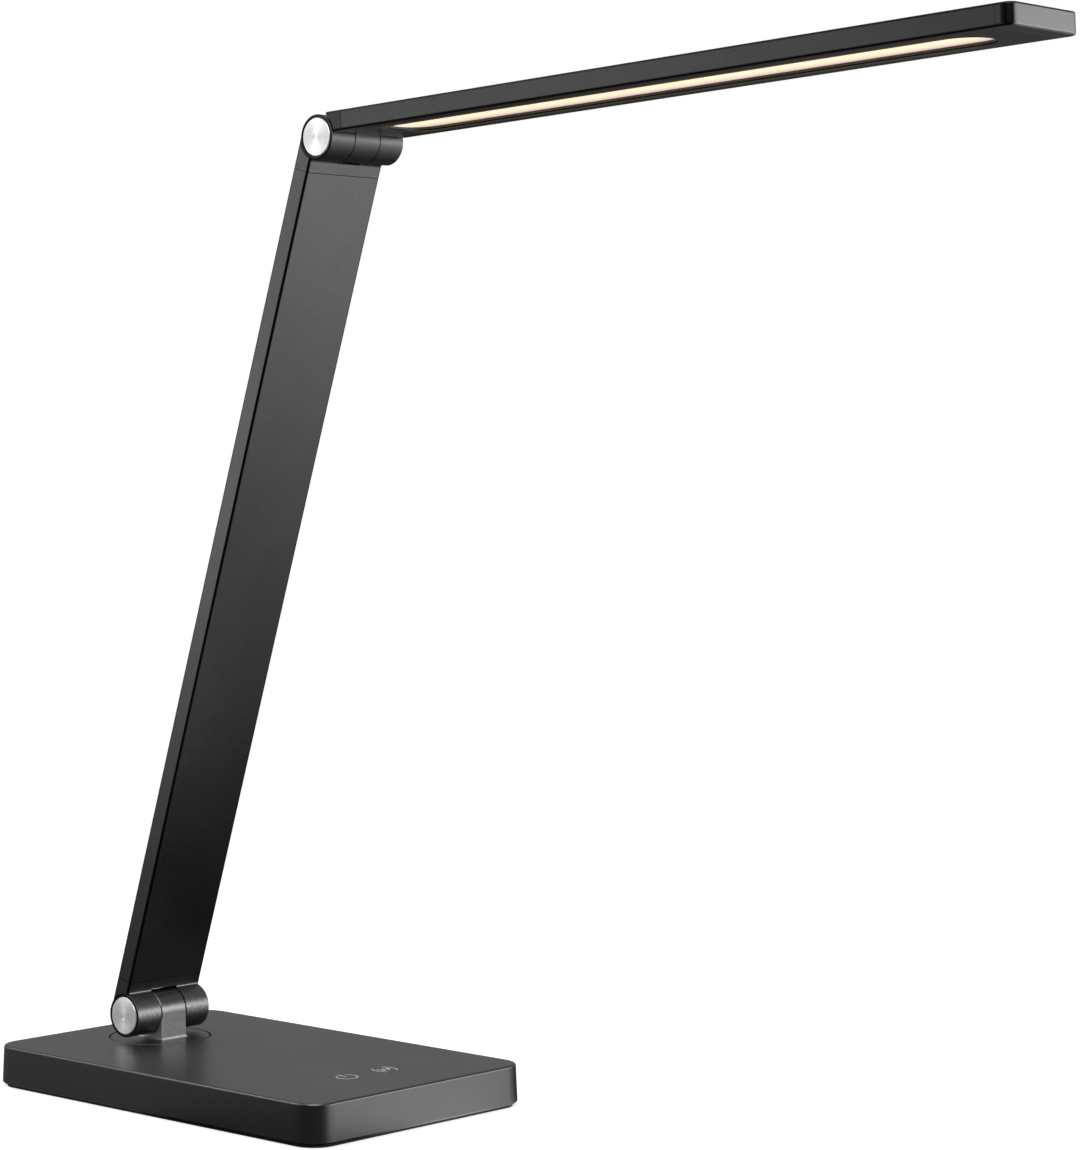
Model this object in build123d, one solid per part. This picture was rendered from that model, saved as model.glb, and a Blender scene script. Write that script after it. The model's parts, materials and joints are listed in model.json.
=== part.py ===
from build123d import *
from math import cos, radians, sin, sqrt, tan
import os

# Folding LED table lamp: a weighted base, a turntable, a flat arm and a flat head.
# Sizes are in millimetres and degrees. The origin is the centre of the base's
# underside, +Z is up, -Y is the front and X runs along the hinge axes.

# Clearances
running_gap = 0.05
seat_gap = 0.03
slide_gap = 0.1
swing_gap = 0.3

# Base housing
base_width = 121.0
base_depth = 195.0
base_height = 16.0
base_corner_radius = 11.7
base_draft = 2.5
base_side_wall = 2.2
base_top_wall = 2.4
base_top_round = 1.0
base_lower_bevel = 0.8
rib_thickness = 1.2
rib_height = 1.8
rib_spacing = 20.0

# Bottom cover, its screws and the pad under it
cover_thickness = 1.6
pad_thickness = 1.2
pad_margin = 2.0
cover_screw_inset = 10.0
cover_boss_radius = 3.6
cover_screw_radius = 1.5
cover_screw_head_radius = 2.8
cover_screw_length = 9.0

# Ballast plate
ballast_thickness = 4.8
ballast_board_gap = 9.3
ballast_margin = 1.4
ballast_corner_radius = 6.0
hold_down_rib_length = 84.0

# Control board with its touch pads
board_width = 62.0
board_depth = 34.0
board_thickness = 1.6
touch_from_front = 33.2
board_screw_inset = 4.0
board_boss_radius = 2.6
board_screw_radius = 1.0
board_screw_head_radius = 2.0
board_screw_head_height = 1.3
board_screw_length = 4.4
touch_spacing = 21.0
touch_pad_radius = 5.0
touch_pad_height = 3.8

# Parts under the control board
connector_depth = 6.0
coil_width = 7.0
coil_corner_radius = 1.2
coil_height = 3.0
coil_x = -14.0
capacitor_radius = 3.15
capacitor_height = 5.4
capacitor_forward = 4.0
chip_x = 10.0
driver_chip_width = 5.0
driver_chip_depth = 6.2
driver_chip_height = 1.2
driver_chip_back = 5.0
touch_chip_width = 4.0
touch_chip_height = 1.0
touch_chip_forward = 7.0

# Power inlet in the rear wall
inlet_height = 9.2
inlet_barrel_radius = 4.25
inlet_bore_radius = 2.9
inlet_bore_depth = 10.0
inlet_pin_radius = 1.0
inlet_pin_recess = 0.8
inlet_end_wall = 1.5
inlet_flange_radius = 5.4
inlet_flange_thickness = 1.0
inlet_nut_flats = 10.0
inlet_nut_thickness = 2.0
inlet_wall_pad = 1.4
lead_width = 3.2
lead_thickness = 1.4
lead_bend_radius = 4.0
lead_clear_of_plate = 0.3
lead_side_run = 20.0

# Turntable and its spindle
swivel_from_back = 37.6
disc_radius = 21.0
disc_thickness = 2.5
disc_edge_bevel = 0.3
cup_gap = 0.5
cup_wall = 2.0
cup_floor = 2.4
glide_ring_inner_radius = 12.0
glide_ring_outer_radius = 19.0
glide_ring_thickness = 0.55
spindle_radius = 5.0
spindle_bore_radius = 3.5
spindle_flats = 9.0
bush_wall = 2.0
washer_radius = 9.5
thrust_washer_thickness = 0.8
stop_washer_thickness = 1.5
spring_washer_thickness = 1.0
swivel_nut_flats = 14.0
swivel_nut_thickness = 3.0
spindle_tail = 0.6
swivel_range = 90.0
stop_tab_half_angle = 12.0
stop_tab_radius = 13.6
stop_rib_wall = 3.4
stop_slack = 1.0

# Flat profile shared by the arm and the head
profile_width = 40.0
profile_thickness = 8.0
profile_round = 0.8
arm_wall = 1.3
arm_inner_round = 0.5
seam_bevel = 0.25

# Hinges
lower_barrel_radius = 9.1
upper_barrel_radius = 8.8
barrel_bevel = 0.35
hinge_height = 11.0
middle_knuckle_width = 13.4
knuckle_relief = 1.2
friction_washer_thickness = 0.4
friction_washer_radius = 7.4
axle_radius = 4.0
axle_bore_radius = 2.4
axle_head_width = 9.0
axle_head_thickness = 1.8
axle_head_pocket = 1.0
axle_window_width = 5.0
axle_tail = 0.3
hinge_recess_depth = 7.0
shadow_groove_width = 0.4
shadow_groove_depth = 0.7
barrel_rim = 0.9
cap_thickness = 1.8
cap_bevel = 0.25
spring_disc_radius = 6.6
spring_disc_thickness = 1.0
hinge_nut_flats = 11.0
hinge_nut_thickness = 3.2
post_socket_depth = 5.0
post_seat_depth = 0.8
post_wire_radius = 2.2
post_edge_bevel = 0.3
post_plinth_height = 0.6
post_plinth_margin = 0.35

# Arm
arm_length = 379.0
arm_tilt = 18.1
arm_inset = 0.6
arm_fitting_reach = 14.5
arm_plug_length = 18.0
arm_plug_gap_width = 16.0
arm_front_fillet = 1.5
arm_cable_radius = 1.7
arm_cable_x = -15.5

# Head
head_length = 326.4
head_raise = 2.6
head_inset = 1.15
head_fitting_reach = 14.0
head_shoulder = 5.9
head_plug_length = 9.0
head_wall = 1.3
tip_cap_length = 6.4
tip_corner_radius = 3.5
tip_plug_length = 6.0
slot_start = 25.2
slot_end = 304.8
slot_width = 22.4
slot_lip = 1.35
slot_bevel = 0.5
ledge_width = 3.0
diffuser_thickness = 1.4
led_board_thickness = 1.6
led_length = 3.5
led_width = 2.8
led_height = 0.8
led_rows_apart = 8.0
led_pitch = 9.0
head_cable_radius = 1.0
head_cable_length = 29.0

# Heights and places that follow from the sizes above
housing_low = pad_thickness
base_top = housing_low + base_height
inner_top = base_top - base_top_wall
cover_top = housing_low + cover_thickness
ballast_top = cover_top + ballast_thickness
swivel_y = base_depth / 2 - swivel_from_back
board_centre_y = touch_from_front - base_depth / 2
board_back_y = board_centre_y + board_depth / 2
ballast_front_y = board_back_y + ballast_board_gap
board_top = inner_top - touch_pad_height
board_low = board_top - board_thickness
wall_slope = tan(radians(base_draft))
cover_screw_x = base_width / 2 - cover_screw_inset
cover_screw_y = base_depth / 2 - cover_screw_inset
cup_radius = disc_radius + cup_gap
cup_floor_top = base_top - disc_thickness - glide_ring_thickness - running_gap
cup_floor_low = cup_floor_top - cup_floor
thrust_washer_low = cup_floor_low - thrust_washer_thickness
stop_washer_top = thrust_washer_low - running_gap
stop_washer_low = stop_washer_top - stop_washer_thickness
spring_washer_low = stop_washer_low - spring_washer_thickness
swivel_nut_low = spring_washer_low - swivel_nut_thickness
spindle_low = swivel_nut_low - spindle_tail
spindle_top = base_top + post_socket_depth
stop_rib_inner = washer_radius + swing_gap
stop_rib_outer = stop_tab_radius + stop_rib_wall
inlet_face_y = base_depth / 2 - base_height * wall_slope
inlet_seat_y = inlet_face_y - inlet_flange_thickness
inlet_back_y = inlet_face_y - inlet_bore_depth - inlet_end_wall
inlet_wall_y = base_depth / 2 - (inlet_height - housing_low) * wall_slope - base_side_wall
inlet_nut_y = inlet_wall_y - inlet_wall_pad
half_width = profile_width / 2
half_middle = middle_knuckle_width / 2
outer_knuckle_start = half_middle + running_gap + friction_washer_thickness
recess_floor = half_width - hinge_recess_depth
plinth_half_x = half_middle + post_plinth_margin
plinth_half_y = lower_barrel_radius + post_plinth_margin
diffuser_low = head_inset + slot_lip
diffuser_top = diffuser_low + diffuser_thickness
led_board_top = head_inset + profile_thickness - head_wall
led_board_low = led_board_top - led_board_thickness
ledge_inner_x = half_width - head_wall - ledge_width
channel_end = head_length - tip_cap_length
board_start = head_fitting_reach + head_plug_length + slide_gap
board_end = channel_end - tip_plug_length - slide_gap

# Where the arm and the head stand at rest, each in its own frame:
# X along the hinge, Z along the bar, Y from the hinge axis towards the bar
lower_axis_z = base_top + hinge_height
upper_axis_y = swivel_y - arm_length * sin(radians(arm_tilt))
upper_axis_z = lower_axis_z + arm_length * cos(radians(arm_tilt))
arm_place = Pos(0, swivel_y, lower_axis_z) * Rot(arm_tilt, 0, 0)
head_place = Pos(0, upper_axis_y, upper_axis_z) * Rot(90 - head_raise, 0, 0)


def disc(radius, z_low, z_high):
    """Upright cylinder between two heights."""
    return Pos(0, 0, z_low) * extrude(Circle(radius), z_high - z_low)


def ring(outer_radius, inner_radius, z_low, z_high):
    """Upright hollow cylinder between two heights."""
    return Pos(0, 0, z_low) * extrude(Circle(outer_radius) - Circle(inner_radius), z_high - z_low)


def block(x_low, x_high, y_low, y_high, z_low, z_high):
    """Box between two corners."""
    size = (x_high - x_low, y_high - y_low, z_high - z_low)
    centre = ((x_low + x_high) / 2, (y_low + y_high) / 2, (z_low + z_high) / 2)
    return Pos(*centre) * Box(*size)


def hex_nut(flats, bore_radius, thickness):
    """Hexagon nut on z = 0, with two flats square to Y."""
    return extrude(RegularPolygon(flats / 2, 6, major_radius=False) - Circle(bore_radius), thickness)


def countersunk_screw(shank_radius, head_radius, length):
    """Flat-head screw with its head's face on z = 0 and its shank up along Z."""
    head_height = head_radius - shank_radius
    head = Cone(head_radius, shank_radius, head_height, align=(Align.CENTER, Align.CENTER, Align.MIN))
    return head + disc(shank_radius, 0, length)


def along_x(shape, x_start):
    """Lay a shape that stands on z = 0 along +X, from x_start."""
    return Pos(x_start, 0, 0) * Rot(0, 90, 0) * shape


def barrel(radius, x_low, x_high):
    """Cylinder on the hinge axis between two places along X."""
    return along_x(extrude(Circle(radius), x_high - x_low), x_low)


def point_on(radius, angle):
    """Point of the XY plane at a radius and an angle."""
    return (radius * cos(radians(angle)), radius * sin(radians(angle)))


def ring_sector(inner_radius, outer_radius, middle_angle, half_angle):
    """Flat piece of a ring, spread evenly about middle_angle."""
    first = middle_angle - half_angle
    last = middle_angle + half_angle
    outer_arc = ThreePointArc(
        point_on(outer_radius, first), point_on(outer_radius, middle_angle), point_on(outer_radius, last)
    )
    inner_arc = ThreePointArc(
        point_on(inner_radius, last), point_on(inner_radius, middle_angle), point_on(inner_radius, first)
    )
    last_side = Line(outer_arc @ 1, inner_arc @ 0)
    first_side = Line(inner_arc @ 1, outer_arc @ 0)
    return Sketch() + Face(Wire([outer_arc, last_side, inner_arc, first_side]))


def group(shapes):
    """Several like pieces kept as separate solids."""
    return Compound(list(shapes))


# Base


def base_prism(inset, z_low, z_high):
    """Drafted block with the base's outline pulled in by inset."""
    shrink = inset + (z_low - housing_low) * wall_slope
    outline = RectangleRounded(
        base_width - 2 * shrink, base_depth - 2 * shrink, base_corner_radius - shrink
    )
    return Pos(0, 0, z_low) * extrude(outline, z_high - z_low, taper=base_draft)


def cover_screw_places():
    """Four screws, one in each corner of the base."""
    return GridLocations(2 * cover_screw_x, 2 * cover_screw_y, 2, 2)


def board_screw_places():
    """Two screws, one near each end of the control board."""
    return Pos(0, board_centre_y, 0) * GridLocations(board_width - 2 * board_screw_inset, 0, 2, 1)


def housing_ribs():
    """Cross ribs under the top, and one on each side that keeps the ballast plate down."""
    count = int((cup_low_edge_y() - board_back_y) / rib_spacing)
    middle = (cup_low_edge_y() + board_back_y) / 2
    ribs = Part()
    for index in range(count):
        y = middle + (index - (count - 1) / 2) * rib_spacing
        ribs += block(
            -base_width / 2, base_width / 2,
            y - rib_thickness / 2, y + rib_thickness / 2,
            inner_top - rib_height, inner_top + base_top_wall / 2,
        )
    for x in (-cover_screw_x, cover_screw_x):
        ribs += block(
            x - rib_thickness / 2, x + rib_thickness / 2,
            middle - hold_down_rib_length / 2, middle + hold_down_rib_length / 2,
            ballast_top + slide_gap, inner_top + base_top_wall / 2,
        )
    return ribs & base_prism(base_side_wall / 2, housing_low, base_top - base_top_wall / 2)


def housing_bosses():
    """Screw bosses with webs to the side walls, and the board's bosses."""
    bosses = Part()
    for place in cover_screw_places():
        bosses += place * disc(cover_boss_radius, cover_top, inner_top + base_top_wall / 2)
        outwards = 1 if place.position.X > 0 else -1
        web_x = sorted((place.position.X, outwards * base_width / 2))
        web_y = place.position.Y
        bosses += block(
            web_x[0], web_x[1], web_y - rib_thickness / 2, web_y + rib_thickness / 2,
            ballast_top + swing_gap, inner_top + base_top_wall / 2,
        )
    for place in board_screw_places():
        bosses += place * disc(board_boss_radius, board_top, inner_top + base_top_wall / 2)
    return bosses & base_prism(base_side_wall / 2, housing_low, base_top - base_top_wall / 2)


def cup_low_edge_y():
    """Front edge of the cup that holds the turntable."""
    return swivel_y - cup_radius - cup_wall


def stop_rib():
    """Rib under the cup that the turntable's stop tab meets at both ends of its swing."""
    half_angle = 180 - swivel_range - stop_tab_half_angle - stop_slack
    sector = ring_sector(stop_rib_inner, stop_rib_outer, 90, half_angle)
    return Pos(0, 0, stop_washer_low) * extrude(sector, cup_floor_low + cup_floor / 2 - stop_washer_low)


def base_housing():
    """Moulded cover of the base, open underneath, with the turntable's cup let into its top."""
    body = base_prism(0, housing_low, base_top)
    body = fillet(body.edges().group_by(Axis.Z)[-1], base_top_round)
    body = chamfer(body.edges().group_by(Axis.Z)[0], base_lower_bevel)
    body -= base_prism(base_side_wall, housing_low, inner_top)
    body += housing_ribs() + housing_bosses()
    inlet_pad_half = inlet_flange_radius + inlet_wall_pad
    body += block(
        -inlet_pad_half, inlet_pad_half, inlet_nut_y, inlet_wall_y + base_side_wall / 2,
        cover_top + swing_gap, inner_top + base_top_wall / 2,
    )
    swivel = Pos(0, swivel_y, 0)
    body += swivel * disc(cup_radius + cup_wall, cup_floor_low, inner_top + base_top_wall / 2)
    body += swivel * stop_rib()
    body -= swivel * disc(cup_radius, cup_floor_top, base_top)
    body -= swivel * disc(spindle_radius + running_gap + bush_wall + seat_gap, cup_floor_low, cup_floor_top)
    for place in cover_screw_places():
        body -= place * disc(cover_screw_radius + seat_gap, cover_top, housing_low + cover_screw_length)
    for place in board_screw_places():
        body -= place * disc(board_screw_radius + seat_gap, board_top, board_low + board_screw_length)
    inlet = Pos(0, inlet_seat_y, inlet_height) * Rot(-90, 0, 0)
    body -= inlet * disc(inlet_flange_radius + slide_gap, 0, base_side_wall)
    body -= inlet * disc(inlet_barrel_radius + slide_gap, -inlet_bore_depth, 0)
    return body


def bottom_cover():
    """Flat plate that closes the base, with countersunk screw holes."""
    edge = base_side_wall + swing_gap + cover_thickness * wall_slope
    outline = RectangleRounded(base_width - 2 * edge, base_depth - 2 * edge, base_corner_radius - edge)
    plate = Pos(0, 0, housing_low) * extrude(outline, cover_thickness)
    sink = countersunk_screw(
        cover_screw_radius + slide_gap, cover_screw_head_radius + slide_gap, cover_thickness
    )
    for place in cover_screw_places():
        plate -= place * Pos(0, 0, housing_low) * sink
    return plate


def cover_screws():
    screw = countersunk_screw(cover_screw_radius, cover_screw_head_radius, cover_screw_length)
    return group(place * Pos(0, 0, housing_low) * screw for place in cover_screw_places())


def non_slip_pad():
    """Rubber sheet stuck under the cover, which the lamp stands on."""
    outline = RectangleRounded(
        base_width - 2 * pad_margin, base_depth - 2 * pad_margin, base_corner_radius - pad_margin
    )
    return extrude(outline, pad_thickness)


def ballast_plate():
    """Steel plate that steadies the base, cut out round the bosses, spindle and inlet."""
    half_x = base_width / 2 - base_height * wall_slope - base_side_wall - ballast_margin
    rear_y = inlet_nut_y - ballast_margin
    outline = RectangleRounded(2 * half_x, rear_y - ballast_front_y, ballast_corner_radius)
    plate = Pos(0, (rear_y + ballast_front_y) / 2, cover_top) * extrude(outline, ballast_thickness)
    for place in cover_screw_places():
        if place.position.Y > ballast_front_y:
            plate -= place * disc(cover_boss_radius + swing_gap, cover_top, ballast_top)
    plate -= Pos(0, swivel_y, 0) * disc(stop_rib_outer + ballast_margin, cover_top, ballast_top)
    notch_x = inlet_nut_flats / sqrt(3) + ballast_margin
    plate -= block(-notch_x, notch_x, inlet_back_y - ballast_margin, rear_y, cover_top, ballast_top)
    return plate


def control_board():
    """Circuit board hung from the housing's top, under the touch marks."""
    board = Pos(0, board_centre_y, board_low) * extrude(Rectangle(board_width, board_depth), board_thickness)
    for place in board_screw_places():
        board -= place * disc(board_screw_radius + slide_gap, board_low, board_top)
    return board


def board_screws():
    screw = disc(board_screw_radius, 0, board_screw_length)
    screw += disc(board_screw_head_radius, -board_screw_head_height, 0)
    return group(place * Pos(0, 0, board_low) * screw for place in board_screw_places())


def touch_place(side):
    """Centre of one touch mark; side is -1 for power and 1 for brightness."""
    return Pos(side * touch_spacing / 2, board_centre_y, 0)


def touch_pads():
    """Conductive foam pads between the board and the top, one under each touch mark."""
    return group(touch_place(side) * disc(touch_pad_radius, board_top, inner_top) for side in (-1, 1))


def board_parts():
    """Parts on the board's underside: inlet connector, coil, capacitor, driver and touch chips."""
    lead_height = ballast_top + lead_clear_of_plate
    connector = block(
        -lead_side_run - lead_width, -lead_side_run + lead_width,
        board_back_y - connector_depth, board_back_y, lead_height, board_low,
    )
    coil_outline = RectangleRounded(coil_width, coil_width, coil_corner_radius)
    coil = Pos(coil_x, board_centre_y, board_low - coil_height) * extrude(coil_outline, coil_height)
    capacitor = disc(capacitor_radius, board_low - capacitor_height, board_low)
    driver = Pos(0, 0, board_low - driver_chip_height) * extrude(
        Rectangle(driver_chip_width, driver_chip_depth), driver_chip_height
    )
    touch_chip = Pos(0, 0, board_low - touch_chip_height) * extrude(
        Rectangle(touch_chip_width, touch_chip_width), touch_chip_height
    )
    return group([
        connector,
        coil,
        Pos(0, board_centre_y - capacitor_forward, 0) * capacitor,
        Pos(chip_x, board_centre_y + driver_chip_back, 0) * driver,
        Pos(chip_x, board_centre_y - touch_chip_forward, 0) * touch_chip,
    ])


def power_inlet():
    """Round low-voltage socket with a centre pin, flush in the rear wall."""
    length = inlet_bore_depth + inlet_end_wall
    body = disc(inlet_barrel_radius, -length, 0) + disc(inlet_flange_radius, -inlet_flange_thickness, 0)
    body -= disc(inlet_bore_radius, -inlet_bore_depth, 0)
    body += disc(inlet_pin_radius, -inlet_bore_depth, -inlet_pin_recess)
    return Pos(0, inlet_face_y, inlet_height) * Rot(-90, 0, 0) * body


def inlet_nut():
    nut = hex_nut(inlet_nut_flats, inlet_barrel_radius + seat_gap, inlet_nut_thickness)
    return Pos(0, inlet_nut_y, inlet_height) * Rot(90, 0, 0) * nut


def inlet_lead():
    """Flat two-core lead on edge, from the inlet round the spindle to the control board."""
    height = ballast_top + lead_clear_of_plate + lead_width / 2
    turn_y = inlet_back_y - lead_bend_radius
    route = FilletPolyline(
        (0, inlet_back_y, height),
        (0, turn_y, height),
        (-lead_side_run, turn_y, height),
        (-lead_side_run, board_back_y, height),
        radius=lead_bend_radius - lead_thickness / 2,
    )
    section = Plane(origin=route @ 0, z_dir=route % 0, x_dir=(1, 0, 0)) * Rectangle(lead_thickness, lead_width)
    return sweep(section, path=route)


# Turntable


def glide_ring():
    """Thin nylon ring in the cup that the turntable turns on."""
    return ring(
        glide_ring_outer_radius, glide_ring_inner_radius, cup_floor_top, cup_floor_top + glide_ring_thickness
    )


def spindle_bush():
    bore = spindle_radius + running_gap
    return ring(bore + bush_wall, bore, cup_floor_low, cup_floor_top)


def thrust_washer():
    return ring(washer_radius, spindle_radius + running_gap, thrust_washer_low, cup_floor_low)


def turntable_disc():
    """Disc flush in the base's top, with a shallow seat that keys the hinge post."""
    body = disc(disc_radius, base_top - disc_thickness, base_top)
    body = chamfer(body.edges().group_by(Axis.Z)[-1], disc_edge_bevel)
    body -= block(
        -plinth_half_x - seat_gap, plinth_half_x + seat_gap,
        -plinth_half_y - seat_gap, plinth_half_y + seat_gap,
        base_top - post_seat_depth, base_top,
    )
    return body - disc(spindle_radius + seat_gap, base_top - disc_thickness, base_top)


def spindle_flat_cut(gap, z_low, z_high):
    """Round bar with two flats, which fits inside or over the spindle."""
    half_flat = spindle_flats / 2 + gap
    radius = spindle_radius + gap
    return disc(radius, z_low, z_high) & block(-half_flat, half_flat, -radius, radius, z_low, z_high)


def spindle():
    """Threaded tube from the hinge post down through the base, flattened for the stop washer."""
    body = disc(spindle_radius, stop_washer_top, spindle_top)
    body += spindle_flat_cut(0, spindle_low, stop_washer_top)
    return body - disc(spindle_bore_radius, spindle_low, spindle_top)


def stop_washer():
    """Steel washer keyed to the spindle, with a tab that ends the swing."""
    plate = Circle(washer_radius)
    plate += ring_sector(washer_radius - bush_wall, stop_tab_radius, -90, stop_tab_half_angle)
    body = Pos(0, 0, stop_washer_low) * extrude(plate, stop_washer_thickness)
    return body - spindle_flat_cut(seat_gap, stop_washer_low, stop_washer_top)


def spring_washer():
    return ring(washer_radius, spindle_radius + seat_gap, spring_washer_low, stop_washer_low)


def swivel_nut():
    nut = hex_nut(swivel_nut_flats, spindle_radius + seat_gap, swivel_nut_thickness)
    return Pos(0, 0, swivel_nut_low) * nut


def post_plinth():
    """Low bevelled plinth at the post's foot, let into the turntable."""
    plinth = block(
        -plinth_half_x, plinth_half_x, -plinth_half_y, plinth_half_y,
        base_top - post_seat_depth, base_top + post_plinth_height,
    )
    return chamfer(plinth.edges().group_by(Axis.Z)[-1], post_plinth_margin)


def hinge_post():
    """Upright block with the lower hinge's middle knuckle, screwed onto the spindle."""
    foot = base_top - post_seat_depth
    column_height = lower_axis_z - foot
    side_view = Pos(0, -column_height / 2) * Rectangle(2 * lower_barrel_radius, column_height)
    side_view += Circle(lower_barrel_radius)
    body = Pos(0, 0, lower_axis_z) * extrude(Plane.YZ * side_view, half_middle, both=True)
    side_edges = body.edges().group_by(Axis.X)
    body = chamfer(side_edges[0] + side_edges[-1], post_edge_bevel)
    body += post_plinth()
    body -= disc(spindle_radius + seat_gap, foot, spindle_top)
    body -= disc(post_wire_radius, spindle_top, lower_axis_z)
    bore = barrel(axle_radius + running_gap, -half_middle, half_middle)
    return body - Pos(0, 0, lower_axis_z) * bore


# Hinge parts, in the frame of a hinge: the axis is X through the origin


def hinge_axle():
    """Hollow axle with a square head, and a window for the wire halfway along."""
    head_x = -recess_floor + axle_head_pocket - axle_head_thickness
    tail_x = recess_floor + spring_disc_thickness + hinge_nut_thickness + axle_tail
    body = barrel(axle_radius, head_x, tail_x)
    half_head = axle_head_width / 2
    body += block(head_x, head_x + axle_head_thickness, -half_head, half_head, -half_head, half_head)
    body -= barrel(axle_bore_radius, head_x, tail_x)
    half_window = axle_window_width / 2
    return body - block(-half_window, half_window, -axle_radius, axle_radius, -axle_radius, 0)


def friction_washers():
    """Nylon washers on both sides of the middle knuckle."""
    washer = ring(friction_washer_radius, axle_radius + seat_gap, 0, friction_washer_thickness)
    inner_x = outer_knuckle_start - friction_washer_thickness
    return group([along_x(washer, inner_x), along_x(washer, -outer_knuckle_start)])


def spring_disc():
    """Spring disc under the nut, which keeps the knuckles pressed together."""
    disc_ring = ring(spring_disc_radius, axle_radius + seat_gap, 0, spring_disc_thickness)
    return along_x(disc_ring, recess_floor)


def hinge_nut():
    nut = hex_nut(hinge_nut_flats, axle_radius + seat_gap, hinge_nut_thickness)
    return along_x(nut, recess_floor + spring_disc_thickness)


def recess_radius(barrel_radius):
    """Inside of the recess in a barrel's end, which leaves the rim and the groove round the cap."""
    return barrel_radius - barrel_rim - shadow_groove_width


def hinge_caps(barrel_radius):
    """Bright round caps pressed into both ends of the hinge."""
    cap = disc(recess_radius(barrel_radius) - seat_gap, 0, cap_thickness)
    cap = chamfer(cap.edges().group_by(Axis.Z)[-1], cap_bevel)
    right = along_x(cap, half_width - cap_thickness)
    return group([right, mirror(right, about=Plane.YZ)])


def at_both_hinges(lower, upper):
    """A piece of the lower hinge, and a piece of the upper one, mirrored to the arm's other end."""
    mirrored = Pos(0, 0, arm_length) * mirror(upper, about=Plane.XY)
    return group(lower.solids() + mirrored.solids())


# Arm


def bar(inset, z_low, z_high, wall=0, corner=profile_round):
    """Length of the flat profile behind the hinge axis, pulled in by wall."""
    outline = RectangleRounded(profile_width - 2 * wall, profile_thickness - 2 * wall, corner)
    return Pos(0, inset + profile_thickness / 2, z_low) * extrude(outline, z_high - z_low)


def bevelled_bar(inset, z_low, z_high):
    """Length of the flat profile with a fine bevel round both ends, where the end pieces meet it."""
    body = bar(inset, z_low, z_high)
    end_edges = body.edges().group_by(Axis.Z)
    return chamfer(end_edges[0] + end_edges[-1], seam_bevel)


def arm_tube():
    """Hollow aluminium bar between the two hinge fittings."""
    z_low = arm_fitting_reach
    z_high = arm_length - arm_fitting_reach
    return bevelled_bar(arm_inset, z_low, z_high) - bar(arm_inset, z_low, z_high, arm_wall, arm_inner_round)


def barrel_outline(barrel_radius):
    """Circle of the barrel, whose start lies where the bar covers it."""
    return Rot(0, 0, 45) * Circle(barrel_radius)


def knuckle_profile(barrel_radius):
    """Side view of a knuckle: the barrel with the bar growing out of it behind a small fillet."""
    upright = Pos(arm_inset + profile_thickness / 2, arm_fitting_reach / 2) * Rectangle(
        profile_thickness, arm_fitting_reach
    )
    outline = barrel_outline(barrel_radius) + upright
    corner = outline.vertices().sort_by_distance((arm_inset, barrel_radius, 0))[0]
    return fillet(corner, arm_front_fillet)


def hinge_recess(barrel_radius):
    """Recess in the +X end of a hinge: room for the nut, and the shallow groove round the cap."""
    radius = recess_radius(barrel_radius)
    recess = barrel(radius, recess_floor, half_width)
    return recess + barrel(radius + shadow_groove_width, half_width - shadow_groove_depth, half_width)


def arm_fitting(barrel_radius):
    """Cast end of the arm: two outer knuckles and a forked plug that fills the tube's end."""
    flat_half = half_width - profile_round
    body = extrude(Plane.YZ * knuckle_profile(barrel_radius), flat_half, both=True)
    end_disc = extrude(barrel_outline(barrel_radius), profile_round)
    end_disc = chamfer(end_disc.edges().group_by(Axis.Z)[-1], barrel_bevel)
    right_disc = Plane.YZ.offset(flat_half) * end_disc
    body += right_disc
    body += mirror(right_disc, about=Plane.YZ)
    body += bar(arm_inset, 0, arm_fitting_reach)
    plug = bar(
        arm_inset, arm_fitting_reach, arm_fitting_reach + arm_plug_length,
        arm_wall + slide_gap, arm_inner_round,
    )
    half_fork = arm_plug_gap_width / 2
    plug -= block(
        -half_fork, half_fork, 0, arm_inset + profile_thickness,
        arm_fitting_reach, arm_fitting_reach + arm_plug_length,
    )
    body += plug
    body -= barrel(barrel_radius + knuckle_relief, -outer_knuckle_start, outer_knuckle_start)
    body -= barrel(axle_radius + seat_gap, -half_width, half_width)
    body -= hinge_recess(barrel_radius)
    body -= mirror(hinge_recess(barrel_radius), about=Plane.YZ)
    pocket = axle_head_width / 2 + seat_gap
    body -= block(-recess_floor, -recess_floor + axle_head_pocket, -pocket, pocket, -pocket, pocket)
    wire_hole = disc(arm_cable_radius + slide_gap, 0, arm_fitting_reach + arm_plug_length)
    return body - Pos(arm_cable_x, arm_inset + profile_thickness / 2, 0) * wire_hole


def arm_cable():
    """Cable inside the arm, from one hinge recess to the other."""
    wire_y = arm_inset + profile_thickness / 2
    end = axle_head_width / 2 * sqrt(2)
    return Pos(arm_cable_x, wire_y, 0) * disc(arm_cable_radius, end, arm_length - end)


# Head


def channel_space():
    """Inside of the head's profile: two grooves, for the diffuser and the LED board."""
    height = led_board_top - diffuser_low
    inside = Rectangle(profile_width - 2 * head_wall, height)
    ledge_height = led_board_low - diffuser_top - 2 * slide_gap
    ledge_shift = (led_board_low + diffuser_top) / 2 - (led_board_top + diffuser_low) / 2
    for side in (-1, 1):
        ledge_x = side * (ledge_inner_x + ledge_width / 2)
        inside -= Pos(ledge_x, ledge_shift) * Rectangle(ledge_width, ledge_height)
    return Pos(0, (led_board_top + diffuser_low) / 2) * inside


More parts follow.
